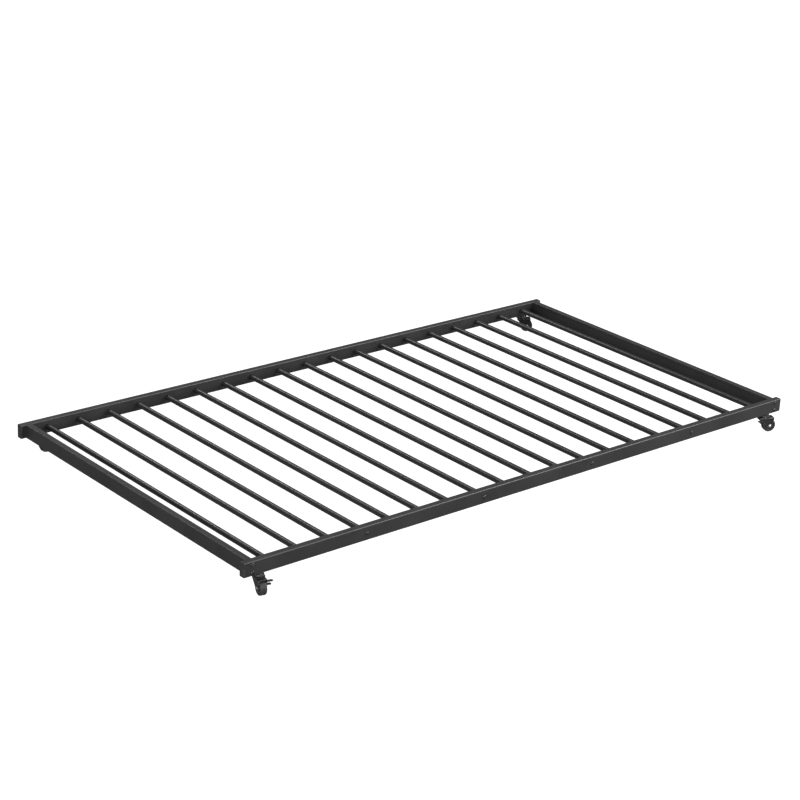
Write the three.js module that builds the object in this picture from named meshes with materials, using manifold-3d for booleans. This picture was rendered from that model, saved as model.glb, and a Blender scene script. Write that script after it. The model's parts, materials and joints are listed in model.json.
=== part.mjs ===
// Twin trundle bed: a low steel tube frame on four swivel casters.
// Millimetres, +Z up, X along the long rails, origin at the centre of the footprint on the floor.
import * as THREE from "three";
import { mergeVertices } from "three/addons/utils/BufferGeometryUtils.js";
import Module from "manifold-3d";

const wasm = await Module();
wasm.setup();

// ---- driving dimensions -------------------------------------------------------------
const BED_LENGTH = 1980;
const BED_WIDTH = 1067;
const RAIL_HEIGHT = 40;
const RAIL_THICK = 20;
const RAIL_WALL = 1.5;
const RAIL_CORNER = 2.5;
const RAIL_BOTTOM = 56;
const FIT = 0.3;

const END_RAIL_X = 965;
const END_PLATE = 4;
const PLUG_CAP = 2;
const PLUG_DEPTH = 11;

const SLAT_COUNT = 19;
const SLAT_PITCH = 100.5;
const SLAT_RADIUS = 8;
const SLAT_WALL = 1;
const SLAT_INSERT = 14;
const SLAT_SIDES = 16;
const BOLTED_SLATS = [4, 8, 12, 16];

const BOLT_RADIUS = 3;
const BOLT_HEAD_RADIUS = 5.6;
const BOLT_HEAD_HEIGHT = 3;
const BOLT_SOCKET_RADIUS = 2.2;
const BOLT_SOCKET_DEPTH = 1.6;
const BOLT_SOCKET_RIM = 0.6;
const BOLT_DOME = [0.84, 0.55];
const BOLT_SIDES = 12;
const SOCKET_SIDES = 6;
const CORNER_BOLT_RISE = 11;
const CORNER_BOLT_REACH = 10;
const SLAT_BOLT_REACH = 12;

const CASTER_TRAIL = 14;
const WHEEL_RADIUS = 20;
const WHEEL_WIDTH = 18;
const WHEEL_EDGE = 2.5;
const TREAD_SHOULDER = [0.7, 0.8];
const RIM_SLOPE = 0.6;
const HUB_RADIUS = 7;
const RIM_INNER = 14;
const RIM_RECESS = 2.2;
const WHEEL_SIDES = 24;
const AXLE_RADIUS = 3;
const AXLE_HEAD_RADIUS = 4.2;
const AXLE_HEAD = 1.4;

const RUNNING = 0.08;
const CUT_OVER = 1;
const CLEAR_REACH = 60;
const CHAMFER = 1;

const FORK_SHEET = 2;
const FORK_CLEARANCE = 1.2;
const CROWN_TOP = 46;
const CROWN_FRONT = -19;
const CROWN_REAR = 26;
const CROWN_RADIUS = 15.5;
const CROWN_SKIRT = 5;
const LEG_BOSS = 7;
const STEM_RADIUS = 4;
const STEM_REACH = 26;
const KINGPIN_RADIUS = 5;
const KINGPIN_HEAD_RADIUS = 8;
const KINGPIN_HEAD = 1.5;
const RACE_RADIUS = 13;
const RACE_TOP = 53.5;
const COLLAR_RADIUS = 9;
const STEM_SIDES = 20;

const LEVER_SHEET = 1.6;
const LEVER_FRONT = -5;
const LEVER_BOSS = 6;
const LEVER_END_HEIGHT = 10;
const LEVER_END_RISE = 3;
const LEVER_TAB_LENGTH = 10;
const LEVER_TOP_TAB = 25;
const LEVER_BOTTOM_TAB = 20;

const RAIL_MIDDLE = RAIL_BOTTOM + RAIL_HEIGHT / 2;
const RAIL_Y = BED_WIDTH / 2 - RAIL_THICK / 2;
const WHEEL_GAP_HALF = WHEEL_WIDTH / 2 + FORK_CLEARANCE;
const FORK_HALF = WHEEL_GAP_HALF + FORK_SHEET;

// The wheels trail further past the front rail than the back one; this centres the footprint.
const FOOTPRINT_SHIFT = 6.85;

// Each caster's place along its rail, its swivel angle about the stem (0 = wheel trails towards
// +X), and whether it has a brake.
const CASTERS = [
  { corner: "front_left", side: -1, x: -937, swivel: 257, brake: true },
  { corner: "front_right", side: -1, x: 937, swivel: -22, brake: true },
  { corner: "back_left", side: 1, x: -922, swivel: -20, brake: false },
  { corner: "back_right", side: 1, x: 922, swivel: -35, brake: false },
];

// ---- materials ----------------------------------------------------------------------
const COATED = { color: 0x1d1d1f, roughness: 0.55, metalness: 0.35 };
const SLAT_COAT = { color: 0x202022, roughness: 0.5, metalness: 0.35 };
const BLACK_SCREW = { color: 0x151517, roughness: 0.35, metalness: 0.8 };
const BLACK_PLASTIC = { color: 0x18181a, roughness: 0.6, metalness: 0 };
const FORK_STEEL = { color: 0x232326, roughness: 0.4, metalness: 0.7 };
const ZINC = { color: 0xa9abae, roughness: 0.35, metalness: 0.9 };

const bed = new THREE.Group();
bed.name = "trundle_bed";

function addNode(name, geometry, look) {
  const mesh = new THREE.Mesh(geometry, new THREE.MeshStandardMaterial(look));
  mesh.name = name;
  geometry.translate(0, FOOTPRINT_SHIFT, 0);
  bed.add(mesh);
}

// ---- solid helpers ------------------------------------------------------------------
function toSolid(geometry) {
  const bare = new THREE.BufferGeometry();
  bare.setAttribute("position", geometry.getAttribute("position").clone());
  if (geometry.index) bare.setIndex(geometry.index.clone());
  const merged = mergeVertices(bare, 1e-4);
  const vertProperties = new Float32Array(merged.getAttribute("position").array);
  const triVerts = new Uint32Array(merged.index.array);
  return new wasm.Manifold(new wasm.Mesh({ numProp: 3, vertProperties, triVerts }));
}

function toGeometry(solid) {
  const mesh = solid.getMesh();
  const geometry = new THREE.BufferGeometry();
  geometry.setAttribute("position", new THREE.BufferAttribute(new Float32Array(mesh.vertProperties), 3));
  geometry.setIndex(new THREE.BufferAttribute(new Uint32Array(mesh.triVerts), 1));
  geometry.computeVertexNormals();
  return geometry;
}

function roundedRect(width, height, radius) {
  const w = width / 2;
  const h = height / 2;
  const shape = new THREE.Shape();
  shape.moveTo(-w + radius, -h);
  shape.lineTo(w - radius, -h);
  shape.absarc(w - radius, -h + radius, radius, -Math.PI / 2, 0);
  shape.lineTo(w, h - radius);
  shape.absarc(w - radius, h - radius, radius, 0, Math.PI / 2);
  shape.lineTo(-w + radius, h);
  shape.absarc(-w + radius, h - radius, radius, Math.PI / 2, Math.PI);
  shape.lineTo(-w, -h + radius);
  shape.absarc(-w + radius, -h + radius, radius, Math.PI, Math.PI * 1.5);
  return shape;
}

// A bar of rounded rectangular section running along X, centred on the origin.
function barAlongX(length, thick, height, corner) {
  const bar = new THREE.ExtrudeGeometry(roundedRect(thick, height, corner), {
    depth: length,
    bevelEnabled: false,
    curveSegments: 2,
  });
  bar.rotateX(Math.PI / 2);
  bar.rotateZ(Math.PI / 2);
  bar.translate(-length / 2, 0, 0);
  return bar;
}

function boxSolid(x0, x1, y0, y1, z0, z1) {
  const box = new THREE.BoxGeometry(x1 - x0, y1 - y0, z1 - z0);
  box.translate((x0 + x1) / 2, (y0 + y1) / 2, (z0 + z1) / 2);
  return toSolid(box);
}

// A round pin along Y from y0 to y1 at (x, z).
function pinAlongY(radius, y0, y1, x, z, sides) {
  const pin = new THREE.CylinderGeometry(radius, radius, y1 - y0, sides);
  pin.translate(x, (y0 + y1) / 2, z);
  return toSolid(pin);
}

// A round pin standing upright from z0 to z1 at (x, y).
function pinAlongZ(radius, z0, z1, x, y, sides) {
  const pin = new THREE.CylinderGeometry(radius, radius, z1 - z0, sides);
  pin.rotateX(Math.PI / 2);
  pin.translate(x, y, (z0 + z1) / 2);
  return toSolid(pin);
}

// A turned part: profile is a list of [radius, height], turned about the Y axis.
function turned(profile, sides) {
  return new THREE.LatheGeometry(profile.map(([radius, along]) => new THREE.Vector2(radius, along)), sides);
}

function slatX(index) {
  return (index - (SLAT_COUNT + 1) / 2) * SLAT_PITCH;
}

// ---- long rails ---------------------------------------------------------------------
const RAIL_LENGTH = BED_LENGTH - 2 * (PLUG_CAP + FIT);

function cavityBar(length) {
  return barAlongX(length, RAIL_THICK - 2 * RAIL_WALL, RAIL_HEIGHT - 2 * RAIL_WALL, RAIL_CORNER - RAIL_WALL);
}

// side is -1 for the front rail and +1 for the back rail; holes are cut in place.
function longRail(side) {
  let rail = toSolid(barAlongX(RAIL_LENGTH, RAIL_THICK, RAIL_HEIGHT, RAIL_CORNER));
  rail = rail.subtract(toSolid(cavityBar(RAIL_LENGTH + 2 * CUT_OVER)));
  const inner = -side * (RAIL_THICK / 2 - RAIL_WALL);
  const outer = side * (RAIL_THICK / 2 - RAIL_WALL);
  const innerEnds = [inner - side * (RAIL_WALL + CUT_OVER), inner + side * CUT_OVER].sort((a, b) => a - b);
  const outerEnds = [outer - side * CUT_OVER, outer + side * (RAIL_WALL + CUT_OVER)].sort((a, b) => a - b);
  for (let index = 1; index <= SLAT_COUNT; index += 1) {
    const hole = pinAlongY(SLAT_RADIUS + FIT, innerEnds[0], innerEnds[1], slatX(index), 0, SLAT_SIDES);
    rail = rail.subtract(hole);
  }
  for (const index of BOLTED_SLATS) {
    const hole = pinAlongY(BOLT_RADIUS + FIT, outerEnds[0], outerEnds[1], slatX(index), 0, BOLT_SIDES);
    rail = rail.subtract(hole);
  }
  for (const end of [-1, 1]) {
    for (const rise of [-CORNER_BOLT_RISE, CORNER_BOLT_RISE]) {
      const hole = pinAlongY(BOLT_RADIUS + FIT, -RAIL_THICK, RAIL_THICK, end * END_RAIL_X, rise, BOLT_SIDES);
      rail = rail.subtract(hole);
    }
  }
  const bottom = -RAIL_HEIGHT / 2;
  for (const caster of CASTERS.filter((one) => one.side === side)) {
    const stemHole = [bottom - CUT_OVER, bottom + RAIL_WALL + CUT_OVER, caster.x, 0, STEM_SIDES];
    rail = rail.subtract(pinAlongZ(STEM_RADIUS + FIT, ...stemHole));
  }
  return toGeometry(rail).translate(0, side * RAIL_Y, RAIL_MIDDLE);
}

addNode("front_rail", longRail(-1), COATED);
addNode("back_rail", longRail(1), COATED);

// ---- end rails ----------------------------------------------------------------------
const END_RAIL_LENGTH = BED_WIDTH - 2 * (RAIL_THICK + FIT);

// A closed-ended tube whose end plates take the corner bolts.
function endRail(end) {
  let rail = toSolid(barAlongX(END_RAIL_LENGTH, RAIL_THICK, RAIL_HEIGHT, RAIL_CORNER));
  rail = rail.subtract(toSolid(cavityBar(END_RAIL_LENGTH - 2 * END_PLATE)));
  rail = toSolid(toGeometry(rail).rotateZ(Math.PI / 2));
  const half = END_RAIL_LENGTH / 2;
  for (const rise of [-CORNER_BOLT_RISE, CORNER_BOLT_RISE]) {
    for (const plate of [-half + END_PLATE / 2, half - END_PLATE / 2]) {
      const hole = pinAlongY(BOLT_RADIUS + FIT, plate - END_PLATE, plate + END_PLATE, 0, rise, BOLT_SIDES);
      rail = rail.subtract(hole);
    }
  }
  return toGeometry(rail).translate(end * END_RAIL_X, 0, RAIL_MIDDLE);
}

addNode("left_end_rail", endRail(-1), COATED);
addNode("right_end_rail", endRail(1), COATED);

// ---- plastic plugs in the open ends of the long rails ---------------------------------
function endPlug(side, end) {
  const cap = toSolid(barAlongX(PLUG_CAP, RAIL_THICK, RAIL_HEIGHT, RAIL_CORNER));
  const tongueThick = RAIL_THICK - 2 * (RAIL_WALL + FIT);
  const tongueHeight = RAIL_HEIGHT - 2 * (RAIL_WALL + FIT);
  const tongueLength = PLUG_DEPTH + PLUG_CAP / 2;
  const tongue = barAlongX(tongueLength, tongueThick, tongueHeight, RAIL_CORNER - RAIL_WALL);
  tongue.translate(-tongueLength / 2, 0, 0);
  const plug = toGeometry(cap.add(toSolid(tongue)));
  if (end < 0) plug.rotateZ(Math.PI);
  return plug.translate(end * (BED_LENGTH / 2 - PLUG_CAP / 2), side * RAIL_Y, RAIL_MIDDLE);
}

for (const [row, side] of [["front", -1], ["back", 1]]) {
  for (const [hand, end] of [["left", -1], ["right", 1]]) {
    addNode(`${row}_${hand}_end_plug`, endPlug(side, end), BLACK_PLASTIC);
  }
}

// ---- slats --------------------------------------------------------------------------
const SLAT_HALF = BED_WIDTH / 2 - RAIL_WALL - FIT;

function plainSlat() {
  const bore = SLAT_RADIUS - SLAT_WALL;
  return turned([
    [bore, -SLAT_HALF],
    [SLAT_RADIUS, -SLAT_HALF],
    [SLAT_RADIUS, SLAT_HALF],
    [bore, SLAT_HALF],
    [bore, -SLAT_HALF],
  ], SLAT_SIDES);
}

// A slat with a threaded insert fixed in each end for the side bolts.
function insertedSlat() {
  const bore = SLAT_RADIUS - SLAT_WALL;
  const hole = BOLT_RADIUS + FIT;
  const insert = SLAT_HALF - SLAT_INSERT;
  return turned([
    [hole, -SLAT_HALF],
    [SLAT_RADIUS, -SLAT_HALF],
    [SLAT_RADIUS, SLAT_HALF],
    [hole, SLAT_HALF],
    [hole, insert],
    [bore, insert],
    [bore, -insert],
    [hole, -insert],
    [hole, -SLAT_HALF],
  ], SLAT_SIDES);
}

for (let index = 1; index <= SLAT_COUNT; index += 1) {
  const slat = BOLTED_SLATS.includes(index) ? insertedSlat() : plainSlat();
  slat.translate(slatX(index), 0, RAIL_MIDDLE);
  addNode(`slat_${String(index).padStart(2, "0")}`, slat, SLAT_COAT);
}

// ---- bolts --------------------------------------------------------------------------
// A dome-headed socket bolt along Y, head at y = 0 facing -Y and shank running towards +Y.
function domeBolt(shank) {
  const blank = toSolid(turned([
    [0, -BOLT_HEAD_HEIGHT],
    [BOLT_SOCKET_RADIUS + BOLT_SOCKET_RIM, -BOLT_HEAD_HEIGHT],
    [BOLT_HEAD_RADIUS * BOLT_DOME[0], -BOLT_HEAD_HEIGHT * BOLT_DOME[1]],
    [BOLT_HEAD_RADIUS, 0],
    [BOLT_RADIUS, 0],
    [BOLT_RADIUS, shank],
    [0, shank],
  ], BOLT_SIDES));
  const socketEnds = [-BOLT_HEAD_HEIGHT - CUT_OVER, -BOLT_HEAD_HEIGHT + BOLT_SOCKET_DEPTH];
  const socket = pinAlongY(BOLT_SOCKET_RADIUS, ...socketEnds, 0, 0, SOCKET_SIDES);
  return toGeometry(blank.subtract(socket));
}

function placeBolt(name, shank, side, x, z) {
  const bolt = domeBolt(shank);
  if (side > 0) bolt.rotateZ(Math.PI);
  bolt.translate(x, side * (BED_WIDTH / 2 + FIT), z);
  addNode(name, bolt, BLACK_SCREW);
}

const CORNER_SHANK = RAIL_THICK + 2 * FIT + CORNER_BOLT_REACH;
const SLAT_SHANK = RAIL_WALL + 2 * FIT + SLAT_BOLT_REACH;

for (const [row, side] of [["front", -1], ["back", 1]]) {
  for (const [hand, end] of [["left", -1], ["right", 1]]) {
    for (const [level, rise] of [["lower", -CORNER_BOLT_RISE], ["upper", CORNER_BOLT_RISE]]) {
      const name = `${row}_${hand}_${level}_corner_bolt`;
      placeBolt(name, CORNER_SHANK, side, end * END_RAIL_X, RAIL_MIDDLE + rise);
    }
  }
  for (const index of BOLTED_SLATS) {
    const name = `${row}_slat_${String(index).padStart(2, "0")}_bolt`;
    placeBolt(name, SLAT_SHANK, side, slatX(index), RAIL_MIDDLE);
  }
}

// ---- casters ------------------------------------------------------------------------
// Each caster is built about its stem axis with the wheel trailing towards +X, then swung and placed.
function placeCaster(geometry, caster) {
  geometry.rotateZ((caster.swivel * Math.PI) / 180);
  return geometry.translate(caster.x, caster.side * RAIL_Y, 0);
}

// A flat plate drawn in side view (x, z) and given its thickness along Y.
function sidePlate(shape, y0, y1) {
  const plate = new THREE.ExtrudeGeometry(shape, { depth: y1 - y0, bevelEnabled: false, curveSegments: 6 });
  plate.rotateX(Math.PI / 2);
  plate.translate(0, y1, 0);
  return toSolid(plate);
}

function casterStem() {
  const crownUnder = CROWN_TOP - FORK_SHEET;
  const headTop = crownUnder - FIT;
  const raceBottom = CROWN_TOP + FIT;
  const collarTop = RAIL_BOTTOM - FIT;
  const stemTop = RAIL_BOTTOM + STEM_REACH;
  const stem = turned([
    [0, headTop - KINGPIN_HEAD],
    [KINGPIN_HEAD_RADIUS, headTop - KINGPIN_HEAD],
    [KINGPIN_HEAD_RADIUS, headTop],
    [KINGPIN_RADIUS, headTop],
    [KINGPIN_RADIUS, raceBottom],
    [RACE_RADIUS, raceBottom],
    [RACE_RADIUS, RACE_TOP - CHAMFER],
    [RACE_RADIUS - CHAMFER, RACE_TOP],
    [COLLAR_RADIUS, RACE_TOP],
    [COLLAR_RADIUS, collarTop],
    [STEM_RADIUS, collarTop],
    [STEM_RADIUS, stemTop - CHAMFER],
    [STEM_RADIUS - CHAMFER, stemTop],
    [0, stemTop],
  ], STEM_SIDES);
  return stem.rotateX(Math.PI / 2);
}

// Angle on the axle boss where a straight edge from (x, z) touches it; turn picks the side.
function bossTangent(x, z, turn) {
  const distance = Math.hypot(x - CASTER_TRAIL, z - WHEEL_RADIUS);
  return Math.atan2(z - WHEEL_RADIUS, x - CASTER_TRAIL) + turn * Math.acos(LEG_BOSS / distance);
}

// Side outline of the fork: a level crown with a short skirt and edges that slant in to the boss.
function forkOutline() {
  const skirt = CROWN_TOP - CROWN_SKIRT;
  const rear = bossTangent(CROWN_REAR, skirt, -1);
  const front = bossTangent(CROWN_FRONT, skirt, 1);
  const shape = new THREE.Shape();
  shape.moveTo(CROWN_FRONT, CROWN_TOP);
  shape.lineTo(CROWN_REAR, CROWN_TOP);
  shape.lineTo(CROWN_REAR, skirt);
  shape.absarc(CASTER_TRAIL, WHEEL_RADIUS, LEG_BOSS, rear, front - 2 * Math.PI, true);
  shape.lineTo(CROWN_FRONT, skirt);
  return shape;
}

// The axle is riveted into the fork legs; a braked fork carries its lever outside the +Y leg.
function casterFork(brake) {
  const crownUnder = CROWN_TOP - FORK_SHEET;
  let fork = sidePlate(forkOutline(), -FORK_HALF, FORK_HALF);
  fork = fork.add(pinAlongZ(CROWN_RADIUS, crownUnder, CROWN_TOP, 0, 0, STEM_SIDES));
  fork = fork.subtract(boxSolid(-CLEAR_REACH, CLEAR_REACH, -WHEEL_GAP_HALF, WHEEL_GAP_HALF, 0, crownUnder));
  fork = fork.subtract(pinAlongZ(KINGPIN_RADIUS + RUNNING, 0, RAIL_BOTTOM, 0, 0, STEM_SIDES));
  const rightFace = -FORK_HALF;
  const leftFace = FORK_HALF + (brake ? LEVER_SHEET + 2 * FIT : 0);
  const axle = pinAlongY(AXLE_RADIUS, rightFace, leftFace, CASTER_TRAIL, WHEEL_RADIUS, STEM_SIDES);
  const heads = [[rightFace - AXLE_HEAD, rightFace], [leftFace, leftFace + AXLE_HEAD]];
  fork = fork.add(axle);
  for (const [y0, y1] of heads) {
    fork = fork.add(pinAlongY(AXLE_HEAD_RADIUS, y0, y1, CASTER_TRAIL, WHEEL_RADIUS, STEM_SIDES));
  }
  return toGeometry(fork);
}

function casterWheel() {
  const bore = AXLE_RADIUS + RUNNING;
  const hubHalf = WHEEL_GAP_HALF - FIT;
  const half = WHEEL_WIDTH / 2;
  const floor = half - RIM_RECESS;
  const wheel = turned([
    [bore, -hubHalf],
    [HUB_RADIUS, -hubHalf],
    [HUB_RADIUS, -floor],
    [RIM_INNER, -floor],
    [RIM_INNER + RIM_SLOPE, -half],
    [WHEEL_RADIUS - WHEEL_EDGE, -half],
    [WHEEL_RADIUS - TREAD_SHOULDER[0], -half + TREAD_SHOULDER[1]],
    [WHEEL_RADIUS, -half + WHEEL_EDGE],
    [WHEEL_RADIUS, half - WHEEL_EDGE],
    [WHEEL_RADIUS - TREAD_SHOULDER[0], half - TREAD_SHOULDER[1]],
    [WHEEL_RADIUS - WHEEL_EDGE, half],
    [RIM_INNER + RIM_SLOPE, half],
    [RIM_INNER, floor],
    [HUB_RADIUS, floor],
    [HUB_RADIUS, hubHalf],
    [bore, hubHalf],
    [bore, -hubHalf],
  ], WHEEL_SIDES);
  return wheel.translate(CASTER_TRAIL, 0, WHEEL_RADIUS);
}

// A flat lever that pivots on the axle, with two foot tabs folded outwards at its front end.
function brakeLever() {
  const low = WHEEL_RADIUS + LEVER_END_RISE - LEVER_END_HEIGHT / 2;
  const high = low + LEVER_END_HEIGHT;
  const inside = FORK_HALF + FIT;
  const shape = new THREE.Shape();
  shape.moveTo(LEVER_FRONT, high);
  shape.lineTo(CASTER_TRAIL, WHEEL_RADIUS + LEVER_BOSS);
  shape.absarc(CASTER_TRAIL, WHEEL_RADIUS, LEVER_BOSS, Math.PI / 2, -Math.PI / 2, true);
  shape.lineTo(LEVER_FRONT, low);
  let lever = sidePlate(shape, inside, inside + LEVER_SHEET);
  const tabEnds = [LEVER_FRONT, LEVER_FRONT + LEVER_TAB_LENGTH];
  for (const [length, bottom] of [[LEVER_TOP_TAB, high - LEVER_SHEET], [LEVER_BOTTOM_TAB, low]]) {
    lever = lever.add(boxSolid(...tabEnds, inside, inside + length, bottom, bottom + LEVER_SHEET));
  }
  const holeEnds = [inside - CUT_OVER, inside + LEVER_SHEET + CUT_OVER];
  const hole = pinAlongY(AXLE_RADIUS + RUNNING, ...holeEnds, CASTER_TRAIL, WHEEL_RADIUS, STEM_SIDES);
  return toGeometry(lever.subtract(hole));
}

for (const caster of CASTERS) {
  const name = `${caster.corner}_caster`;
  addNode(`${name}_stem`, placeCaster(casterStem(), caster), ZINC);
  addNode(`${name}_fork`, placeCaster(casterFork(caster.brake), caster), FORK_STEEL);
  addNode(`${name}_wheel`, placeCaster(casterWheel(), caster), BLACK_PLASTIC);
  if (caster.brake) addNode(`${name}_brake_lever`, placeCaster(brakeLever(), caster), FORK_STEEL);
}

export default bed;
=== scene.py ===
import json
import math

import bmesh
import bpy
from mathutils import Matrix, Vector


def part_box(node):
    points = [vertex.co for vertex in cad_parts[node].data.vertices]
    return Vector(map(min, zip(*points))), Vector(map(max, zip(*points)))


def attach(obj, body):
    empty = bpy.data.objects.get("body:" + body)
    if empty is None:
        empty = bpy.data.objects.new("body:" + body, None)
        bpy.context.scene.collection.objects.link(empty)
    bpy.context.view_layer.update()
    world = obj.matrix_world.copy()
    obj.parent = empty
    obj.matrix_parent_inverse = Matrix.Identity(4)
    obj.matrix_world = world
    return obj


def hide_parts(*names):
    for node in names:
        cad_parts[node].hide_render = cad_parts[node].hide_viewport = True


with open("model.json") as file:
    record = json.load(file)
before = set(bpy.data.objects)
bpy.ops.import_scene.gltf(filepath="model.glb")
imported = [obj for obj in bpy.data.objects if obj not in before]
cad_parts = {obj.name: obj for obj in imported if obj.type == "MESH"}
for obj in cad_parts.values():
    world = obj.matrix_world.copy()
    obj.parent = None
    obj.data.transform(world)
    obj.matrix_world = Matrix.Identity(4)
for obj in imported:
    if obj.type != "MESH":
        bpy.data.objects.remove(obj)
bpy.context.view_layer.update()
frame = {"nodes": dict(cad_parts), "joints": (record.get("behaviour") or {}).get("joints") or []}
scene = bpy.context.scene
mm = 0.001
fullTurn = 2 * math.pi
weld = 1e-6  # metres within which two vertices count as one
fineWeld = 1e-7
print("frame loaded:", len(frame["nodes"]), "nodes")

view = {
    "lens": 98.0,
    "place": (-3.84898, -4.36020, 2.44545),
    "turn": (68.2588, -2.7200, -39.9198),  # degrees, XYZ order
}

cameraData = bpy.data.cameras.new("camera")
cameraData.lens = view["lens"]
cameraData.sensor_width = 36
cameraData.clip_end = 100
camera = bpy.data.objects.new("camera", cameraData)
camera.location = view["place"]
camera.rotation_euler = [math.radians(angle) for angle in view["turn"]]
scene.collection.objects.link(camera)
scene.camera = camera
scene.view_settings.view_transform = "Standard"
scene.view_settings.look = "None"
print("camera placed")


def addNode(tree, kind, links=None, **settings):
    node = tree.nodes.new(kind)
    for key, value in settings.items():
        setattr(node, key, value)
    for socket, source in (links or {}).items():
        if isinstance(source, bpy.types.NodeSocket):
            tree.links.new(source, node.inputs[socket])
        else:
            node.inputs[socket].default_value = source
    return node


def startGroup(name, inputs, outputs):
    group = bpy.data.node_groups.new(name, "ShaderNodeTree")
    for socket, kind, value in inputs:
        made = group.interface.new_socket(name=socket, in_out="INPUT", socket_type=kind)
        if value is not None:
            made.default_value = value
    for socket, kind in outputs:
        group.interface.new_socket(name=socket, in_out="OUTPUT", socket_type=kind)
    return group, group.nodes.new("NodeGroupInput"), group.nodes.new("NodeGroupOutput")


def noise(tree, vector, scale, detail, rough=0.5):
    links = {"Vector": vector, "Scale": scale, "Detail": detail, "Roughness": rough}
    return addNode(tree, "ShaderNodeTexNoise", links).outputs["Fac"]


def stretch(tree, value, low, high, toLow=0.0, toHigh=1.0):
    links = {"Value": value, "From Min": low, "From Max": high, "To Min": toLow, "To Max": toHigh}
    return addNode(tree, "ShaderNodeMapRange", links, clamp=True).outputs["Result"]


def calc(tree, operation, first, second):
    return addNode(tree, "ShaderNodeMath", {0: first, 1: second}, operation=operation).outputs[0]


# The peel, grain and thickness changes of a sprayed or dipped coat.
coatSkin, inside, outside = startGroup(
    "coatSkin",
    [("Vector", "NodeSocketVector", None), ("Peel Size", "NodeSocketFloat", 700.0),
     ("Grain Size", "NodeSocketFloat", 2600.0), ("Cloud Size", "NodeSocketFloat", 9.0)],
    [("Height", "NodeSocketFloat"), ("Cloud", "NodeSocketFloat"), ("Speck", "NodeSocketFloat")])
peel = noise(coatSkin, inside.outputs["Vector"], inside.outputs["Peel Size"], 1.0)
grain = noise(coatSkin, inside.outputs["Vector"], inside.outputs["Grain Size"], 2.0, 0.6)
cloud = noise(coatSkin, inside.outputs["Vector"], inside.outputs["Cloud Size"], 5.0, 0.62)
height = calc(coatSkin, "ADD", calc(coatSkin, "MULTIPLY", peel, 0.65),
              calc(coatSkin, "MULTIPLY", grain, 0.35))
coatSkin.links.new(height, outside.inputs["Height"])
coatSkin.links.new(stretch(coatSkin, cloud, 0.3, 0.7), outside.inputs["Cloud"])
coatSkin.links.new(stretch(coatSkin, grain, 0.62, 0.74), outside.inputs["Speck"])

# A mask of the sharp edges, broken up, where a finish rubs thin and where a painted edge highlight is laid.
edgeRub, inside, outside = startGroup(
    "edgeRub",
    [("Vector", "NodeSocketVector", None), ("Reach", "NodeSocketFloat", 0.0012),
     ("Amount", "NodeSocketFloat", 0.5)],
    [("Mask", "NodeSocketFloat")])
rounded = addNode(edgeRub, "ShaderNodeBevel", {"Radius": inside.outputs["Reach"]}, samples=4)
surface = addNode(edgeRub, "ShaderNodeNewGeometry")
facing = addNode(edgeRub, "ShaderNodeVectorMath", {0: rounded.outputs[0], 1: surface.outputs["Normal"]},
                 operation="DOT_PRODUCT").outputs["Value"]
edge = stretch(edgeRub, calc(edgeRub, "SUBTRACT", 1.0, facing), 0.02, 0.2)
breakup = stretch(edgeRub, noise(edgeRub, inside.outputs["Vector"], 160.0, 4.0, 0.65), 0.4, 0.66)
rub = calc(edgeRub, "MULTIPLY", calc(edgeRub, "MULTIPLY", edge, breakup), inside.outputs["Amount"])
edgeRub.links.new(rub, outside.inputs["Mask"])

# Fine scratches in two directions, for plated and moulded faces that get handled.
handling, inside, outside = startGroup(
    "handling",
    [("Vector", "NodeSocketVector", None), ("Size", "NodeSocketFloat", 120.0)],
    [("Scratch", "NodeSocketFloat"), ("Smudge", "NodeSocketFloat")])
strokes = []
for lean, squeeze in ((0.5, (1.0, 14.0, 1.0)), (-0.9, (12.0, 1.0, 2.0))):
    turned = addNode(handling, "ShaderNodeMapping", {
        "Vector": inside.outputs["Vector"], "Rotation": (0.3, lean, lean), "Scale": squeeze})
    stroke = noise(handling, turned.outputs[0], inside.outputs["Size"], 3.0, 0.7)
    strokes.append(stretch(handling, stroke, 0.6, 0.72))
handling.links.new(calc(handling, "MAXIMUM", *strokes), outside.inputs["Scratch"])
smudge = noise(handling, inside.outputs["Vector"], 34.0, 4.0, 0.6)
handling.links.new(stretch(handling, smudge, 0.35, 0.68), outside.inputs["Smudge"])


def startMaterial(name):
    material = bpy.data.materials.new(name)
    material.use_nodes = True
    tree = material.node_tree
    tree.nodes.clear()
    out = addNode(tree, "ShaderNodeOutputMaterial")
    shader = addNode(tree, "ShaderNodeBsdfPrincipled")
    tree.links.new(shader.outputs[0], out.inputs["Surface"])
    place = addNode(tree, "ShaderNodeTexCoord").outputs["Object"]
    return material, tree, shader, place


def useGroup(tree, group, links):
    return addNode(tree, "ShaderNodeGroup", links, node_tree=group).outputs


def addBump(tree, shader, height, strength, depth):
    bump = addNode(tree, "ShaderNodeBump", {"Height": height, "Strength": strength, "Distance": depth})
    tree.links.new(bump.outputs[0], shader.inputs["Normal"])


def mixColour(tree, factor, first, second):
    node = addNode(tree, "ShaderNodeMix", data_type="RGBA")
    tree.links.new(factor, node.inputs["Factor"])
    for socket, source in ((node.inputs[6], first), (node.inputs[7], second)):
        if isinstance(source, bpy.types.NodeSocket):
            tree.links.new(source, socket)
        else:
            socket.default_value = (*source, 1)
    return node.outputs[2]


rubPolish = 0.2  # how much smoother a rubbed edge gets
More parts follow.
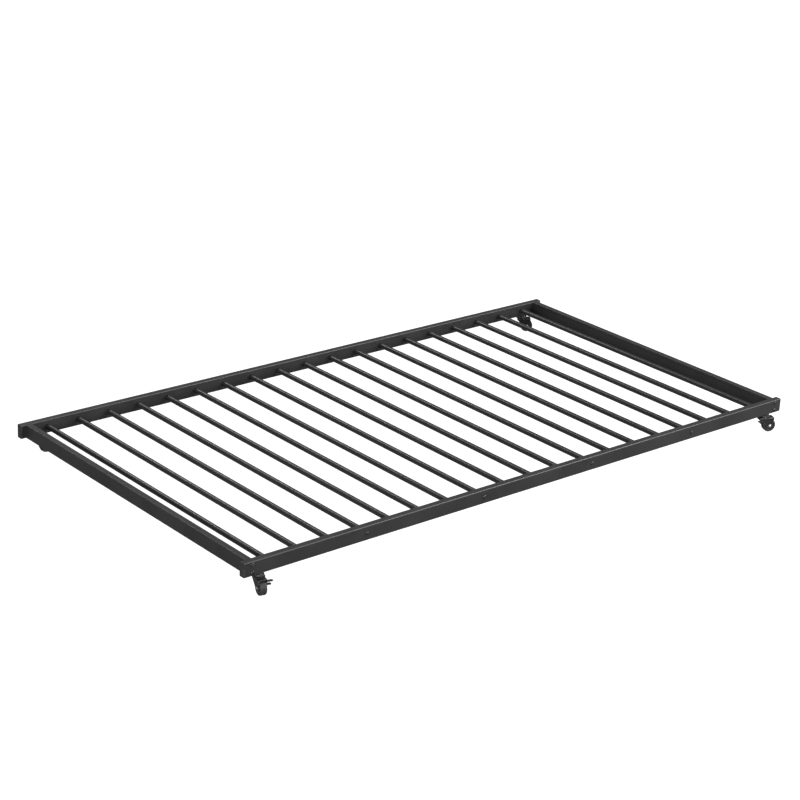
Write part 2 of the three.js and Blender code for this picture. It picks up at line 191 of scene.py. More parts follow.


# A black coat over steel, described by its colours, gloss, skin and rubbed edges; the lighter edges are
# partly worn coat, partly a painted edge highlight.
def coatedSteel(name, look):
    material, tree, shader, place = startMaterial(name)
    skin = useGroup(tree, coatSkin, {"Vector": place, "Peel Size": look["peel"],
                                     "Grain Size": look["grain"], "Cloud Size": look["cloud"]})
    rub = useGroup(tree, edgeRub, {"Vector": place, "Reach": look["rubReach"],
                                   "Amount": look["rub"]})["Mask"]
    coat = mixColour(tree, skin["Cloud"], look["dark"], look["light"])
    specks = calc(tree, "MULTIPLY", skin["Speck"], look["speck"])
    coat = mixColour(tree, specks, coat, look["speckColour"])
    # Lightens the edges: partly worn coat, partly a painted edge highlight.
    tree.links.new(mixColour(tree, rub, coat, look["rubColour"]), shader.inputs["Base Color"])
    rough = stretch(tree, skin["Cloud"], 0, 1, *look["gloss"])
    rough = calc(tree, "SUBTRACT", rough, calc(tree, "MULTIPLY", rub, rubPolish))
    tree.links.new(rough, shader.inputs["Roughness"])
    addBump(tree, shader, skin["Height"], look["bump"], look["bumpDepth"])
    shader.inputs["Metallic"].default_value = look["metal"]
    shader.inputs["Specular IOR Level"].default_value = look["specular"]
    return material


powderCoat = coatedSteel("powderCoat", {
    "dark": (0.0100, 0.0101, 0.0106), "light": (0.0165, 0.0166, 0.0172),
    "speckColour": (0.05, 0.05, 0.052), "speck": 0.5, "gloss": (0.34, 0.46), "peel": 700.0,
    "grain": 2600.0, "cloud": 9.0, "bump": 0.5, "bumpDepth": 0.00012, "rub": 0.45,
    "rubReach": 0.0012, "rubColour": (0.055, 0.055, 0.058), "metal": 0.0, "specular": 0.5})
# The slats wear the same powder coat as the rails; this copy's darker colours are painted shade.
slatCoat = coatedSteel("slatCoat", {
    "dark": (0.0085, 0.0086, 0.0090), "light": (0.0140, 0.0141, 0.0147),
    "speckColour": (0.045, 0.045, 0.047), "speck": 0.4, "gloss": (0.27, 0.37), "peel": 800.0,
    "grain": 3000.0, "cloud": 12.0, "bump": 0.45, "bumpDepth": 0.0001, "rub": 0.3,
    "rubReach": 0.001, "rubColour": (0.05, 0.05, 0.053), "metal": 0.0, "specular": 0.5})
# The fork's bright edge colour is mostly a painted highlight on its cut sheet edges, partly bare worn steel.
forkCoat = coatedSteel("forkCoat", {
    "dark": (0.0060, 0.0061, 0.0066), "light": (0.0120, 0.0122, 0.0128),
    "speckColour": (0.05, 0.05, 0.052), "speck": 0.3, "gloss": (0.26, 0.42), "peel": 1200.0,
    "grain": 4200.0, "cloud": 60.0, "bump": 0.35, "bumpDepth": 0.00006, "rub": 1.0,
    "rubReach": 0.0012, "rubColour": (0.50, 0.50, 0.51), "metal": 0.0, "specular": 0.42})
blackOxide = coatedSteel("blackOxide", {
    "dark": (0.030, 0.030, 0.033), "light": (0.062, 0.062, 0.068),
    "speckColour": (0.12, 0.12, 0.12), "speck": 0.35, "gloss": (0.24, 0.38), "peel": 1500.0,
    "grain": 5200.0, "cloud": 150.0, "bump": 0.3, "bumpDepth": 0.00004, "rub": 0.8,
    "rubReach": 0.0004, "rubColour": (0.3, 0.3, 0.31), "metal": 0.85, "specular": 0.5})


# Bright zinc plate: a faint blue and straw bloom, wiped and lightly scratched.
def zincPlate():
    look = {"blue": (0.60, 0.63, 0.68), "straw": (0.74, 0.72, 0.66), "dull": (0.42, 0.42, 0.43)}
    material, tree, shader, place = startMaterial("zincPlate")
    skin = useGroup(tree, coatSkin, {"Vector": place, "Peel Size": 1500.0, "Grain Size": 6000.0,
                                     "Cloud Size": 160.0})
    marks = useGroup(tree, handling, {"Vector": place, "Size": 260.0})
    colour = mixColour(tree, skin["Cloud"], look["blue"], look["straw"])
    colour = mixColour(tree, calc(tree, "MULTIPLY", marks["Scratch"], 0.5), colour, look["dull"])
    tree.links.new(colour, shader.inputs["Base Color"])
    rough = calc(tree, "ADD", stretch(tree, marks["Smudge"], 0, 1, 0.22, 0.38),
                 calc(tree, "MULTIPLY", marks["Scratch"], 0.12))
    tree.links.new(rough, shader.inputs["Roughness"])
    addBump(tree, shader, skin["Height"], 0.25, 0.00004)
    shader.inputs["Metallic"].default_value = 1.0
    return material


# Moulded black plastic with a fine spark-eroded skin, greyed where it rolls or rubs; its lighter edges are
# partly wear, partly a painted edge highlight.
def mouldedPlastic(name, look):
    material, tree, shader, place = startMaterial(name)
    skin = useGroup(tree, coatSkin, {"Vector": place, "Peel Size": look["skin"],
                                     "Grain Size": look["skin"] * 2.6, "Cloud Size": look["cloud"]})
    marks = useGroup(tree, handling, {"Vector": place, "Size": look["scratch"]})
    rub = useGroup(tree, edgeRub, {"Vector": place, "Reach": 0.0008, "Amount": look["rub"]})["Mask"]
    colour = mixColour(tree, skin["Cloud"], look["dark"], look["light"])
    scuffs = calc(tree, "MULTIPLY", marks["Scratch"], look["scuff"])
    colour = mixColour(tree, scuffs, colour, look["scuffed"])
    tree.links.new(mixColour(tree, rub, colour, look["scuffed"]), shader.inputs["Base Color"])
    rough = calc(tree, "ADD", stretch(tree, marks["Smudge"], 0, 1, *look["gloss"]),
                 calc(tree, "MULTIPLY", marks["Scratch"], 0.08))
    tree.links.new(rough, shader.inputs["Roughness"])
    addBump(tree, shader, skin["Height"], 0.5, 0.00008)
    shader.inputs["Specular IOR Level"].default_value = 0.45
    return material


zinc = zincPlate()
plugPlastic = mouldedPlastic("plugPlastic", {
    "dark": (0.0120, 0.0120, 0.0125), "light": (0.0200, 0.0200, 0.0208),
    "scuffed": (0.06, 0.06, 0.06), "skin": 1800.0, "cloud": 60.0, "scratch": 120.0, "scuff": 0.25,
    "rub": 0.3, "gloss": (0.46, 0.6)})
wheelPlastic = mouldedPlastic("wheelPlastic", {
    "dark": (0.0110, 0.0110, 0.0115), "light": (0.0230, 0.0230, 0.0238),
    "scuffed": (0.09, 0.09, 0.088), "skin": 1400.0, "cloud": 90.0, "scratch": 150.0, "scuff": 0.3,
    "rub": 0.45, "gloss": (0.38, 0.54)})
print("finishes made:", len(bpy.data.materials))


def keepPiece(bm, name, body, slot, material, *nodes, sharp=35, soften=0.0):
    bmesh.ops.remove_doubles(bm, verts=bm.verts, dist=weld)
    bmesh.ops.recalc_face_normals(bm, faces=bm.faces)
    mesh = bpy.data.meshes.new(name)
    bm.to_mesh(mesh)
    bm.free()
    mesh.materials.append(material)
    mesh.polygons.foreach_set("use_smooth", [True] * len(mesh.polygons))
    mesh.set_sharp_from_angle(angle=math.radians(sharp))
    piece = bpy.data.objects.new(name, mesh)
    scene.collection.objects.link(piece)
    if soften:
        bevel = piece.modifiers.new("soften", "BEVEL")
        bevel.width = soften
        bevel.segments = 2
        bevel.limit_method = "ANGLE"
        bevel.angle_limit = math.radians(sharp)
    weighted = piece.modifiers.new("weighted", "WEIGHTED_NORMAL")
    weighted.keep_sharp = True
    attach(piece, body)
    if nodes:
        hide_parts(*nodes)


def block(low, high):
    bm = bmesh.new()
    bmesh.ops.create_cube(bm, size=1)
    low, high = Vector(low), Vector(high)
    bmesh.ops.scale(bm, vec=high - low, verts=bm.verts)
    bmesh.ops.translate(bm, vec=(low + high) / 2, verts=bm.verts)
    return bm


def edgesAlong(bm, axis, test=None):
    found = []
    for edge in bm.edges:
        way = (edge.verts[1].co - edge.verts[0].co).normalized()
        middle = (edge.verts[0].co + edge.verts[1].co) / 2
        if abs(way[axis]) > 0.99 and (test is None or test(middle)):
            found.append(edge)
    return found


def roundEdges(bm, edges, radius, steps):
    bmesh.ops.bevel(bm, geom=edges, offset=radius, offset_type="OFFSET", segments=steps, profile=0.5,
                    affect="EDGES", material=-1)


# A turned shape: the profile's (radius, height) points spun about local Z.
def turnedShape(profile, steps):
    bm = bmesh.new()
    points = [bm.verts.new((radius, 0, height)) for radius, height in profile]
    edges = [bm.edges.new(pair) for pair in zip(points, points[1:])]
    bmesh.ops.spin(bm, geom=points + edges, cent=(0, 0, 0), axis=(0, 0, 1), dvec=(0, 0, 0),
                   angle=fullTurn, steps=steps, use_merge=True)
    bmesh.ops.remove_doubles(bm, verts=bm.verts, dist=fineWeld)
    bmesh.ops.recalc_face_normals(bm, faces=bm.faces)
    return bm


# Moves the vertices that pick() chooses onto a hexagon whose flats are that far from the centre.
def makeHexagon(bm, flat, pick):
    sixth = fullTurn / 6
    for vert in bm.verts:
        radius = math.hypot(vert.co.x, vert.co.y)
        if radius > weld and pick(radius, vert.co.z):
            turn = math.atan2(vert.co.y, vert.co.x)
            reach = flat / math.cos((turn % sixth) - sixth / 2)
            vert.co.x *= reach / radius
            vert.co.y *= reach / radius


def pin(radius, bottom, top, steps):
    bm = bmesh.new()
    bmesh.ops.create_cone(bm, cap_ends=True, segments=steps, radius1=radius, radius2=radius,
                          depth=top - bottom)
    bmesh.ops.translate(bm, vec=(0, 0, (bottom + top) / 2), verts=bm.verts)
    return bm


def moved(bm, *matrices):
    for matrix in matrices:
        bmesh.ops.transform(bm, matrix=matrix, verts=bm.verts)
    return bm


def joined(shapes):
    whole = bmesh.new()
    for shape in shapes:
        mesh = bpy.data.meshes.new("part")
        shape.to_mesh(mesh)
        shape.free()
        whole.from_mesh(mesh)
        bpy.data.meshes.remove(mesh)
    return whole


# Cuts one closed shape from another, or welds them together; both are used up.
def combined(base, tool, operation="DIFFERENCE"):
    pair = []
    for shape in (base, tool):
        bmesh.ops.recalc_face_normals(shape, faces=shape.faces)
        mesh = bpy.data.meshes.new("work")
        shape.to_mesh(mesh)
        shape.free()
        work = bpy.data.objects.new("work", mesh)
        scene.collection.objects.link(work)
        pair.append(work)
    modifier = pair[0].modifiers.new("cut", "BOOLEAN")
    modifier.object = pair[1]
    modifier.operation = operation
    modifier.solver = "EXACT"
    graph = bpy.context.evaluated_depsgraph_get()
    result = bmesh.new()
    result.from_mesh(pair[0].evaluated_get(graph).to_mesh())
    for work in pair:
        mesh = work.data
        bpy.data.objects.remove(work)
        bpy.data.meshes.remove(mesh)
    bmesh.ops.remove_doubles(result, verts=result.verts, dist=weld)
    return result


def turnTo(axis):
    return Vector((0, 0, 1)).rotation_difference(Vector(axis)).to_matrix().to_4x4()


# A round cutter that reaches equally far to both sides of its place.
def drill(radius, reach, place, steps, axis=(0, 1, 0)):
    return moved(pin(radius, -reach, reach, steps), turnTo(axis), Matrix.Translation(place))


def middleOf(node):
    low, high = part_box(node)
    return (low + high) / 2


railTube = {"corner": 2.5 * mm, "cornerSteps": 5, "wall": 1.5 * mm, "endWall": 4 * mm,
            "endRound": 0.5 * mm, "squareTurn": 1.4, "openEnd": 1 * mm,
            "slatHole": 8.3 * mm, "slatSteps": 40, "boltHole": 3.3 * mm, "boltSteps": 20,
            "stemHole": 4.3 * mm, "stemSteps": 24,
            "wallReach": 4 * mm, "endReach": 8 * mm, "throughReach": 15 * mm}
slatNumbers = range(1, 20)
boltedSlats = (4, 8, 12, 16)
corners = [("front", "left"), ("front", "right"), ("back", "left"), ("back", "right")]


# A closed bar with rounded long edges; axis is 0 for one along X and 1 for one along Y.
def tubeBar(low, high, axis, radius, steps):
    bm = block(low, high)
    roundEdges(bm, edgesAlong(bm, axis), radius, steps)
    return bm


def longRail(row):
    low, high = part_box(f"{row}_rail")
    outer, inner = (low.y, high.y) if row == "front" else (high.y, low.y)
    wall, boltHole, boltSteps = railTube["wall"], railTube["boltHole"], railTube["boltSteps"]
    skin = tubeBar(low, high, 0, railTube["corner"], railTube["cornerSteps"])
    over = Vector((railTube["openEnd"], -wall, -wall))
    cutters = [tubeBar(low - over, high + over, 0, railTube["corner"] - wall, railTube["cornerSteps"])]
    for number in slatNumbers:
        spot = middleOf(f"slat_{number:02d}")
        cutters.append(drill(railTube["slatHole"], railTube["wallReach"], (spot.x, inner, spot.z),
                             railTube["slatSteps"]))
        if number in boltedSlats:
            cutters.append(drill(boltHole, railTube["wallReach"], (spot.x, outer, spot.z), boltSteps))
    for hand in ("left", "right"):
        for level in ("lower", "upper"):
            spot = middleOf(f"{row}_{hand}_{level}_corner_bolt")
            spot.y = middleOf(f"{row}_rail").y
            cutters.append(drill(boltHole, railTube["throughReach"], spot, boltSteps))
        spot = middleOf(f"{row}_{hand}_caster_stem")
        spot.z = low.z
        cutters.append(drill(railTube["stemHole"], railTube["wallReach"], spot, railTube["stemSteps"],
                             (0, 0, 1)))
    for cutter in cutters:
        skin = combined(skin, cutter)
    keepPiece(skin, f"{row}Rail", "frame", "powder_coat", powderCoat, f"{row}_rail")


def endRail(hand):
    node = f"{hand}_end_rail"
    low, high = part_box(node)
    wall, square = railTube["wall"], railTube["squareTurn"]
    skin = tubeBar(low, high, 1, railTube["corner"], railTube["cornerSteps"])
    ends = [e for e in skin.edges if len(e.link_faces) == 2 and e.calc_face_angle() > square]
    roundEdges(skin, ends, railTube["endRound"], 2)
    less = Vector((wall, railTube["endWall"], wall))
    cavity = tubeBar(low + less, high - less, 1, railTube["corner"] - wall, railTube["cornerSteps"])
    skin = combined(skin, cavity)
    for row, wallY in (("front", low.y), ("back", high.y)):
        for level in ("lower", "upper"):
            boltZ = middleOf(f"{row}_{hand}_{level}_corner_bolt").z
            skin = combined(skin, drill(railTube["boltHole"], railTube["endReach"],
                                        (middleOf(node).x, wallY, boltZ), railTube["boltSteps"]))
    keepPiece(skin, f"{hand}EndRail", "frame", "powder_coat", powderCoat, node)


for row in ("front", "back"):
    longRail(row)
for hand in ("left", "right"):
    endRail(hand)
print("rails built")


# Plugs in the open ends of the long rails.
plugShape = {"corner": 2.5 * mm, "capEdge": 0.9 * mm, "border": 2.6 * mm, "dish": 0.4 * mm,
             "dishCorner": 1.4 * mm, "dishOver": 1 * mm, "tongueGap": 0.3 * mm,
             "tongueEdge": 0.8 * mm, "lead": 1.2 * mm, "overlap": 0.4 * mm}


def endPlug(row, hand):
    node = f"{row}_{hand}_end_plug"
    low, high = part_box(node)
    side = -1 if hand == "left" else 1
    railLow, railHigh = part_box(f"{row}_rail")
    seat, face = (railLow.x, low.x) if side < 0 else (railHigh.x, high.x)
    cap = block((min(seat, face), railLow.y, railLow.z), (max(seat, face), railHigh.y, railHigh.z))
    roundEdges(cap, edgesAlong(cap, 0), plugShape["corner"], 5)
    front = [f for f in cap.faces if f.normal.x * side > 0.9]
    roundEdges(cap, [e for f in front for e in f.edges], plugShape["capEdge"], 4)
    border = plugShape["border"]
    dishX = (face - side * plugShape["dish"], face + side * plugShape["dishOver"])
    dish = block((min(dishX), railLow.y + border, railLow.z + border),
                 (max(dishX), railHigh.y - border, railHigh.z - border))
    roundEdges(dish, edgesAlong(dish, 0), plugShape["dishCorner"], 5)
    cap = combined(cap, dish)
    wall = railTube["wall"] + plugShape["tongueGap"]
    inside = low.x if side > 0 else high.x
    tongue = block((min(seat, inside), railLow.y + wall, railLow.z + wall),
                   (max(seat, inside), railHigh.y - wall, railHigh.z - wall))
    roundEdges(tongue, edgesAlong(tongue, 0), plugShape["tongueEdge"], 3)
    nose = [f for f in tongue.faces if f.normal.x * side < -0.9]
    roundEdges(tongue, [e for f in nose for e in f.edges], plugShape["lead"], 3)
    bmesh.ops.translate(tongue, vec=(side * plugShape["overlap"], 0, 0), verts=tongue.verts)
    cap = combined(cap, tongue, "UNION")
    keepPiece(cap, f"{row}{hand.title()}Plug", "frame", "black_plastic", plugPlastic, node)


for row, hand in corners:
    endPlug(row, hand)
print("plugs built")


slatTube = {"radius": 8 * mm, "wall": 1 * mm, "steps": 48, "insert": 14 * mm, "insertHole": 3.3 * mm}

for number in slatNumbers:
    node = f"slat_{number:02d}"
    low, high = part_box(node)
    spot, half = (low + high) / 2, (high.y - low.y) / 2
    bore, outer = slatTube["radius"] - slatTube["wall"], slatTube["radius"]
    if number in boltedSlats:
        hole, step = slatTube["insertHole"], half - slatTube["insert"]
        profile = [(hole, -half), (outer, -half), (outer, half), (hole, half), (hole, step),
                   (bore, step), (bore, -step), (hole, -step), (hole, -half)]
    else:
        profile = [(bore, -half), (outer, -half), (outer, half), (bore, half), (bore, -half)]
    slat = moved(turnedShape(profile, slatTube["steps"]), turnTo((0, 1, 0)), Matrix.Translation(spot))
    keepPiece(slat, f"slat{number:02d}", "frame", "powder_coat", slatCoat, node)
print("slats built:", len(slatNumbers))


# Dome-headed socket bolts.
domeBolt = {"head": 5.6 * mm, "rise": 3.3 * mm, "socket": 2.0 * mm, "socketDepth": 1.9 * mm,
            "shank": 3 * mm, "steps": 48, "drillPoint": 0.5 * mm, "domeFrom": 22, "domeSteps": 8,
            "threadFrom": 1.5 * mm, "ridge": 0.32 * mm, "pitch": 1 * mm, "threadStop": 1.6 * mm,
            "tip": 0.7 * mm}


# Head seat at z = 0, dome towards +Z, shank towards -Z.
def boltShape(length):
    head, rise, socket = domeBolt["head"], domeBolt["rise"], domeBolt["socket"]
    floor = rise - domeBolt["socketDepth"]
    shank = domeBolt["shank"]
    profile = [(0, floor - domeBolt["drillPoint"]), (socket * 0.6, floor), (socket, floor),
               (socket, rise - 0.35 * mm), (socket * 1.16, rise - 0.05 * mm), (socket * 1.45, rise)]
    start, steps = domeBolt["domeFrom"], domeBolt["domeSteps"]
    for step in range(1, steps + 1):
        turn = math.radians(start + (90 - start) * step / steps)
        height = rise * max(0.12, math.cos(turn)) ** 0.75 * 0.985
        profile.append((head * math.sin(turn) ** 0.9, height))
    profile += [(head * 0.985, 0), (shank, 0)]
    ridge, pitch, depth = domeBolt["ridge"], domeBolt["pitch"], domeBolt["threadFrom"]
    while depth < length - domeBolt["threadStop"]:  # thread crests and roots
        profile += [(shank, -depth), (shank - ridge, -depth - pitch / 2)]
        depth += pitch
    profile += [(shank, -length + 1 * mm), (shank - domeBolt["tip"], -length), (0, -length)]
    bm = turnedShape(profile, domeBolt["steps"])
    makeHexagon(bm, socket, lambda radius, height: abs(radius - socket) < weld and height > 0)
    return bm


boltNodes = [name for name in frame["nodes"] if name.endswith("_bolt")]
for node in boltNodes:
    low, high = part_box(node)
    side = -1 if node.startswith("front") else 1
    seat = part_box("front_rail")[0].y if side < 0 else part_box("back_rail")[1].y
    tip = high.y if side < 0 else low.y
    spot = (low + high) / 2
    bolt = moved(boltShape(abs(tip - seat)), turnTo((0, side, 0)),
                 Matrix.Translation((spot.x, seat, spot.z)))
    words = node.split("_")
    name = words[0] + "".join(word.title() for word in words[1:])
    keepPiece(bolt, name, "frame", "black_screw", blackOxide, node, sharp=40)
print("bolts built:", len(boltNodes))


# Casters, built about the stem axis with the wheel trailing towards +X, in the part's own heights.
caster = {"trail": 14 * mm, "axle": 20 * mm, "crownTop": 46 * mm, "crownFront": -19 * mm,
          "crownRear": 26 * mm, "crownDisc": 15.5 * mm, "skirt": 5 * mm, "half": 12.2 * mm,
          "sheet": 2 * mm, "boss": 7 * mm, "spare": 1 * mm, "bend": 3 * mm, "edge": 0.35 * mm,
          "kingpin": 5 * mm, "kingpinCut": (30 * mm, 60 * mm), "axlePin": 3 * mm,
          "axleReach": 20 * mm, "axleSteps": 32, "gap": 0.08 * mm}
joints = {joint["name"]: joint for joint in frame["joints"]}


def casterPlace(name):
    stem = Vector(joints[f"{name}_swivel"]["pos_m"])
    axle = Vector(joints[f"{name}_roll"]["pos_m"])
    turn = math.atan2(axle.y - stem.y, axle.x - stem.x)
    return Matrix.Translation((stem.x, stem.y, 0)) @ Matrix.Rotation(turn, 4, "Z")


# Trims a sheet or solid to a rounded boss of that radius about (x, z) between two directions.
def trimRound(bm, centre, radius, start, stop, steps):
    for step in range(steps + 1):
        turn = math.radians(start + (stop - start) * step / steps)
        way = Vector((math.cos(turn), 0, math.sin(turn)))
        spot = Vector((centre[0], 0, centre[1])) + way * radius
        bmesh.ops.bisect_plane(bm, geom=bm.verts[:] + bm.edges[:] + bm.faces[:], dist=fineWeld,
                               plane_co=spot, plane_no=way, clear_outer=True, clear_inner=False)


# Direction in degrees, seen from the boss, of the straight edge that leaves it for the skirt end at x.
def edgeTurn(x, side):
    across, up = x - caster["trail"], caster["crownTop"] - caster["skirt"] - caster["axle"]
    lean = math.acos(caster["boss"] / math.hypot(across, up))
    return math.degrees(math.atan2(up, across) + side * lean)


# One steel strip bent into a crown and two legs, trimmed to its outline before it gets its thickness.
def forkShape():
    trail, axle, boss = caster["trail"], caster["axle"], caster["boss"]
    top, half, front, rear = (caster[key] for key in ("crownTop", "half", "crownFront", "crownRear"))
    shell = block((front, -half, axle - boss - caster["spare"]), (rear, half, top))
    roundEdges(shell, edgesAlong(shell, 0, lambda middle: middle.z > top - weld), caster["bend"], 6)
    ends = [f for f in shell.faces if f.normal.z < -0.9 or abs(f.normal.x) > 0.9]
    bmesh.ops.delete(shell, geom=ends, context="FACES")
    trimRound(shell, (trail, axle), boss, edgeTurn(front, 1) - 360, edgeTurn(rear, -1), 14)
    bmesh.ops.solidify(shell, geom=shell.faces[:], thickness=caster["sheet"])
    bmesh.ops.recalc_face_normals(shell, faces=shell.faces)
    disc = pin(caster["crownDisc"], top - caster["sheet"], top, 64)
    fork = combined(shell, disc, "UNION")
    fork = combined(fork, pin(caster["kingpin"] + caster["gap"], *caster["kingpinCut"], 40))
    return combined(fork, drill(caster["axlePin"], caster["axleReach"], (trail, 0, axle),
                                caster["axleSteps"]))


# From here the casters' small parts are sized in millimetres.
race = {"bore": 5.1, "radius": 13, "bottom": 46.3, "top": 53.5, "groove": 0.8, "nutBore": 4,
        "nutFace": 8.4, "nutWide": 9, "nutSunk": 0.2, "hex": 7.8, "hexTop": 55.9}


# Two pressed cups with a dark seam between them, and the hexagon under the rail.
def raceShape():
    keys = ("bore", "radius", "bottom", "top", "groove")
    bore, wide, low, high, groove = (race[key] * mm for key in keys)
    seam = (low + high) / 2 - 0.4 * mm
    cups = turnedShape([
        (bore, low), (wide - 1.2 * mm, low), (wide - 0.3 * mm, low + 0.3 * mm), (wide, low + 0.9 * mm),
        (wide, seam - 0.5 * mm), (wide - groove, seam - 0.3 * mm), (wide - groove, seam + 0.3 * mm),
        (wide, seam + 0.5 * mm), (wide, high - 1.6 * mm), (wide - 0.5 * mm, high - 0.5 * mm),
        (wide - 1.8 * mm, high), (bore, high), (bore, low)], 64)
    keys = ("nutBore", "nutFace", "nutWide", "nutSunk", "hexTop")
    inner, face, outer, sunk, nutTop = (race[key] * mm for key in keys)
    nutLow = high - sunk
    nut = turnedShape([(inner, nutLow), (face, nutLow), (outer, high + sunk), (outer, nutTop - 0.4 * mm),
                       (face, nutTop), (inner, nutTop), (inner, nutLow)], 48)
    makeHexagon(nut, race["hex"] * mm, lambda radius, height: radius > outer - 0.2 * mm)
    return joined([cups, nut])


stem = {"headLow": 42.2, "headTop": 43.7, "head": 8, "pin": 5, "thread": 4, "threadFrom": 56.5,
        "ridge": 0.45, "root": 0.6, "pitch": 1.25, "lead": 2, "tip": 0.8, "top": 82}


def stemShape():
    head, body, thread = (stem[key] * mm for key in ("head", "pin", "thread"))
    low, under, top = stem["headLow"] * mm, stem["headTop"] * mm, stem["top"] * mm
    profile = [(0, low + 0.5 * mm), (2 * mm, low + 0.5 * mm), (2.6 * mm, low), (head - 1.3 * mm, low),
               (head - 0.3 * mm, low + 0.4 * mm), (head, under - 0.3 * mm), (head - 0.2 * mm, under),
               (body, under), (body, race["top"] * mm), (thread, race["top"] * mm)]
    ridge, root, pitch, lead, tip = (stem[key] * mm for key in ("ridge", "root", "pitch", "lead", "tip"))
    height = stem["threadFrom"] * mm
    while height < top - lead:  # thread crests and roots
        profile += [(thread, height), (thread - ridge, height + root)]
        height += pitch
    profile += [(thread, height), (thread - tip, top), (0, top)]
    return turnedShape(profile, 40)


wheel = {"bore": 3.08, "hub": 7, "hubHalf": 9.9, "web": 6.8, "rim": 14.2, "half": 9, "radius": 20,
         "ribs": 6, "ribRise": 1.5, "steps": 72}


def wheelShape():
    bore, hub, web, rim = wheel["bore"], wheel["hub"], wheel["web"], wheel["rim"]
    half, radius, hubHalf = wheel["half"], wheel["radius"], wheel["hubHalf"]
    side = [(bore, hubHalf), (hub - 0.9, hubHalf), (hub - 0.3, hubHalf - 0.2), (hub, hubHalf - 0.8),
            (hub + 0.1, web + 0.5), (hub + 0.6, web), (rim - 0.6, web), (rim - 0.1, web + 0.4),
            (rim + 0.2, half - 0.5), (rim + 0.7, half), (radius - 2.7, half), (radius - 1.6, half - 0.25),
            (radius - 0.8, half - 0.8), (radius - 0.25, half - 1.6), (radius - 0.05, half - 2.6),
            (radius, half - 4.2), (radius, 0.4), (radius - 0.12, 0.2)]
    profile = [(r * mm, -h * mm) for r, h in side] + [(r * mm, h * mm) for r, h in reversed(side)]
    profile.append(profile[0])
    bm = turnedShape(profile, wheel["steps"])
    apart = fullTurn / wheel["ribs"]
    sector = fullTurn / wheel["steps"]
    for way in (-1, 1):
        ribs = []
        for face in bm.faces:
            middle = face.calc_center_median()
            reach = math.hypot(middle.x, middle.y)
            turn = (math.atan2(middle.y, middle.x) + apart / 2) % apart - apart / 2
            if face.normal.z * way > 0.99 and hub * mm < reach < rim * mm and abs(turn) < sector * 1.1:
                ribs.append(face)
        grown = bmesh.ops.extrude_face_region(bm, geom=ribs)["geom"]
        bmesh.ops.delete(bm, geom=ribs, context="FACES")
        bmesh.ops.translate(bm, vec=(0, 0, way * wheel["ribRise"] * mm),
                            verts=[g for g in grown if isinstance(g, bmesh.types.BMVert)])
    return moved(bm, turnTo((0, 1, 0)), Matrix.Translation((caster["trail"], 0, caster["axle"])))


rivet = {"radius": 4.2, "rise": 1.4, "dimple": 1.3}


# The axle with a domed rivet head at each end.
def axleShape(right, left):
    wide, rise, dimple = (rivet[key] * mm for key in ("radius", "rise", "dimple"))
    head = [(0, rise * 0.72), (dimple * 0.7, rise * 0.76), (dimple, rise), (wide * 0.62, rise * 0.93),
            (wide * 0.86, rise * 0.68), (wide * 0.98, rise * 0.34), (wide, 0), (caster["axlePin"], 0)]
    profile = [(r, -right - h) for r, h in head] + [(r, left + h) for r, h in reversed(head)]
    return moved(turnedShape(profile, 40), turnTo((0, 1, 0)),
                 Matrix.Translation((caster["trail"], 0, caster["axle"])))


lever = {"front": -5, "face": 12.5, "sheet": 1.6, "boss": 6, "low": 18, "high": 28, "edge": 0.25,
         "room": 0.6, "tab": 10, "topTab": 25, "lowTab": 20, "tabIn": 0.4, "tabTip": 1.5,
         "tabRound": 2.2, "grips": 5, "gripFrom": 8, "gripApart": 3.2, "gripInset": 1.6,
         "gripWide": 1, "gripSunk": 0.5, "gripRise": 0.4}


def leverShape():
    front, face, sheet, boss = (lever[key] * mm for key in ("front", "face", "sheet", "boss"))
    low, high = lever["low"] * mm, lever["high"] * mm
    trail, axle, spare = caster["trail"], caster["axle"], caster["spare"]
    plate = block((front, face, axle - boss - spare), (trail + boss, face + sheet, high + spare))
    bmesh.ops.delete(plate, geom=[f for f in plate.faces if f.normal.y > -0.9], context="FACES")
    slopes = ((high - axle - boss) / (trail - front), (low - axle + boss) / (trail - front))
    trimRound(plate, (trail, axle), boss, -90 - math.degrees(math.atan(slopes[1])),
              90 - math.degrees(math.atan(slopes[0])), 24)
    bmesh.ops.solidify(plate, geom=plate.faces[:], thickness=sheet)
    bmesh.ops.recalc_face_normals(plate, faces=plate.faces)
    for length, bottom in ((lever["topTab"] * mm, high - sheet), (lever["lowTab"] * mm, low)):
        tab = block((front, face + lever["tabIn"] * mm, bottom),
                    (front + lever["tab"] * mm, face + length, bottom + sheet))
        tips = edgesAlong(tab, 2, lambda middle: middle.y > face + lever["tabTip"] * mm)
        roundEdges(tab, tips, lever["tabRound"] * mm, 5)
        plate = combined(plate, tab, "UNION")
    inset, wide, sunk, proud = (lever[key] * mm for key in ("gripInset", "gripWide", "gripSunk", "gripRise"))
    for step in range(lever["grips"]):  # foot grips pressed into the long tab
        y = face + (lever["gripFrom"] + lever["gripApart"] * step) * mm
        grip = block((front + inset, y, high - sunk),
                     (front + lever["tab"] * mm - inset, y + wide, high + proud))
        plate = combined(plate, grip, "UNION")
    return combined(plate, drill(caster["axlePin"] + caster["gap"], caster["axleReach"], (trail, 0, axle),
                                 caster["axleSteps"]))


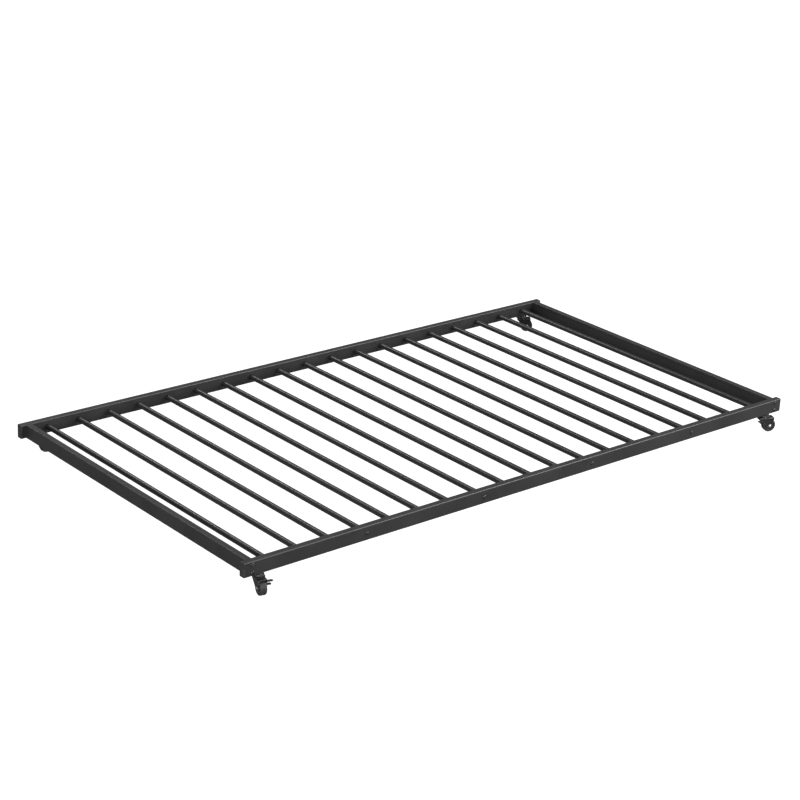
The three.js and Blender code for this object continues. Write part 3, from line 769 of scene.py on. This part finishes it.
for row, hand in corners:
    name = f"{row}_{hand}"
    title = row + hand.title()
    place = casterPlace(name)
    braked = f"{name}_caster_brake_lever" in frame["nodes"]
    half = caster["half"]
    left = half + (lever["sheet"] + lever["room"]) * mm if braked else half
    keepPiece(moved(forkShape(), place), f"{title}Fork", f"{name}_fork", "fork_steel", forkCoat,
              f"{name}_caster_fork", soften=caster["edge"])
    keepPiece(moved(axleShape(half, left), place), f"{title}Axle", f"{name}_fork", "zinc", zinc)
    keepPiece(moved(raceShape(), place), f"{title}Race", "frame", "fork_steel", forkCoat)
    keepPiece(moved(stemShape(), place), f"{title}Stem", "frame", "zinc", zinc, f"{name}_caster_stem")
    keepPiece(moved(wheelShape(), place), f"{title}Wheel", f"{name}_wheel", "black_plastic",
              wheelPlastic, f"{name}_caster_wheel")
    if braked:
        keepPiece(moved(leverShape(), place), f"{title}Brake", f"{name}_brake", "fork_steel", forkCoat,
                  f"{name}_caster_brake_lever", soften=lever["edge"] * mm)
print("casters built")


studio = {"floor": (0.20, 0.20, 0.20), "glow": 0.97, "world": 0.28, "worldSeen": 1.0,
          "radius": 60}


def studioFloor():
    bm = bmesh.new()
    bmesh.ops.create_circle(bm, cap_ends=True, segments=96, radius=studio["radius"])
    mesh = bpy.data.meshes.new("floor")
    bm.to_mesh(mesh)
    bm.free()
    material, tree, shader, place = startMaterial("studioFloor")
    grain = noise(tree, place, 90.0, 3.0)
    tree.links.new(stretch(tree, grain, 0.3, 0.7, 0.84, 0.96), shader.inputs["Roughness"])
    paths = addNode(tree, "ShaderNodeLightPath")
    seen = calc(tree, "MULTIPLY", paths.outputs["Is Camera Ray"], studio["glow"])
    tree.links.new(seen, shader.inputs["Emission Strength"])
    shader.inputs["Emission Color"].default_value = (1, 1, 1, 1)
    shader.inputs["Base Color"].default_value = (*studio["floor"], 1)
    shader.inputs["Specular IOR Level"].default_value = 0.0
    mesh.materials.append(material)
    floor = bpy.data.objects.new("floor", mesh)
    scene.collection.objects.link(floor)


def studioWorld():
    world = bpy.data.worlds.new("studio")
    world.use_nodes = True
    tree = world.node_tree
    background = tree.nodes["Background"]
    paths = addNode(tree, "ShaderNodeLightPath")
    strength = stretch(tree, paths.outputs["Is Camera Ray"], 0, 1,
                       studio["world"], studio["worldSeen"])
    tree.links.new(strength, background.inputs["Strength"])
    background.inputs["Color"].default_value = (1, 1, 1, 1)
    scene.world = world


def softbox(name, place, target, size, power):
    data = bpy.data.lights.new(name, "AREA")
    data.shape = "RECTANGLE"
    data.size, data.size_y = size
    data.energy = power
    light = bpy.data.objects.new(name, data)
    light.location = place
    light.rotation_euler = (Vector(target) - Vector(place)).to_track_quat("-Z", "Y").to_euler()
    light.visible_camera = False
    scene.collection.objects.link(light)


studioFloor()
studioWorld()
softbox("overhead", (0.3, 0.6, 3.2), (0, 0, 0), (3.6, 2.4), 27)
softbox("key", (3.2, -1.9, 3.6), (0.2, -0.2, 0), (1.4, 1.4), 175)
softbox("leftFill", (-4.5, -3.0, 1.8), (-0.3, -0.2, 0), (5.0, 3.2), 375)
softbox("frontFill", (2.2, -3.4, 1.6), (0.4, -0.3, 0), (4.6, 2.8), 165)
softbox("backFill", (-0.3, 3.4, 3.2), (0, 0, 0), (1.2, 1.2), 34)
print("studio lit")
